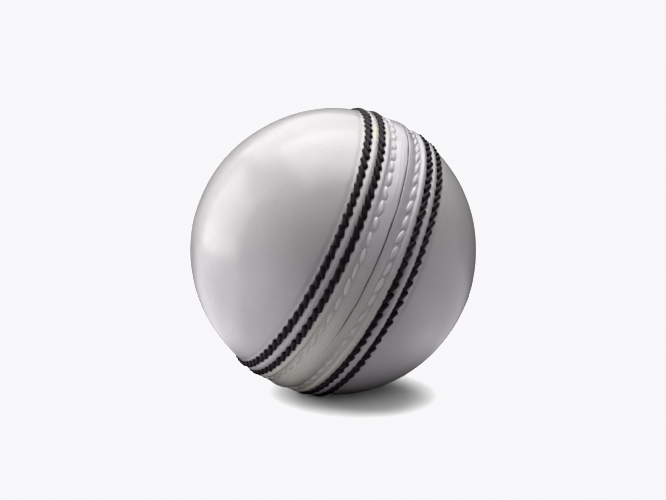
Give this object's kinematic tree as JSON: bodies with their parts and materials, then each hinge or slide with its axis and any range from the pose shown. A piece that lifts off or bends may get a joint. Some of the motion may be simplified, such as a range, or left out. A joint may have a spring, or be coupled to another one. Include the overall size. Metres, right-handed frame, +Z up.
{
  "type": "cricket ball",
  "caption": "White leather cricket ball with a raised stitched seam of black and white rows over a wound cork and yarn core.",
  "frame": {"origin": "the ball's centre", "axes": "+Z up as the ball lies; +Y lies in the seam's plane; the seam's axis is in the XZ plane and dips 26.5 degrees below +X"},
  "size_m": [0.072, 0.073, 0.072],
  "materials": {
    "white_leather": "satin lacquered smooth white leather",
    "black_thread": "waxed black thread",
    "white_thread": "waxed white thread under lacquer",
    "bobbin_thread": "matt black thread",
    "lining": "raw woven lining",
    "yarn": "wound worsted yarn",
    "cork": "sliced cork",
    "nucleus": "moulded cork and rubber"
  },
  "bodies": {
    "root": {"cork_nucleus": "nucleus", "yarn_winding_1": "yarn", "cork_layer_1": "cork", "yarn_winding_2": "yarn", "cork_layer_2": "cork", "yarn_winding_3": "yarn", "cork_layer_3": "cork", "yarn_winding_4": "yarn", "cork_layer_4": "cork", "yarn_winding_5": "yarn", "lining_left": "lining", "lining_right": "lining", "leather_cup_left": "white_leather", "leather_cup_right": "white_leather", "black_stitches_outer_left": "black_thread", "black_stitches_inner_left": "black_thread", "black_stitches_inner_right": "black_thread", "black_stitches_outer_right": "black_thread", "bobbin_thread_outer_left": "bobbin_thread", "bobbin_thread_inner_left": "bobbin_thread", "bobbin_thread_inner_right": "bobbin_thread", "bobbin_thread_outer_right": "bobbin_thread", "white_stitches_left": "white_thread", "white_stitches_right": "white_thread"}
  },
  "joints": []
}
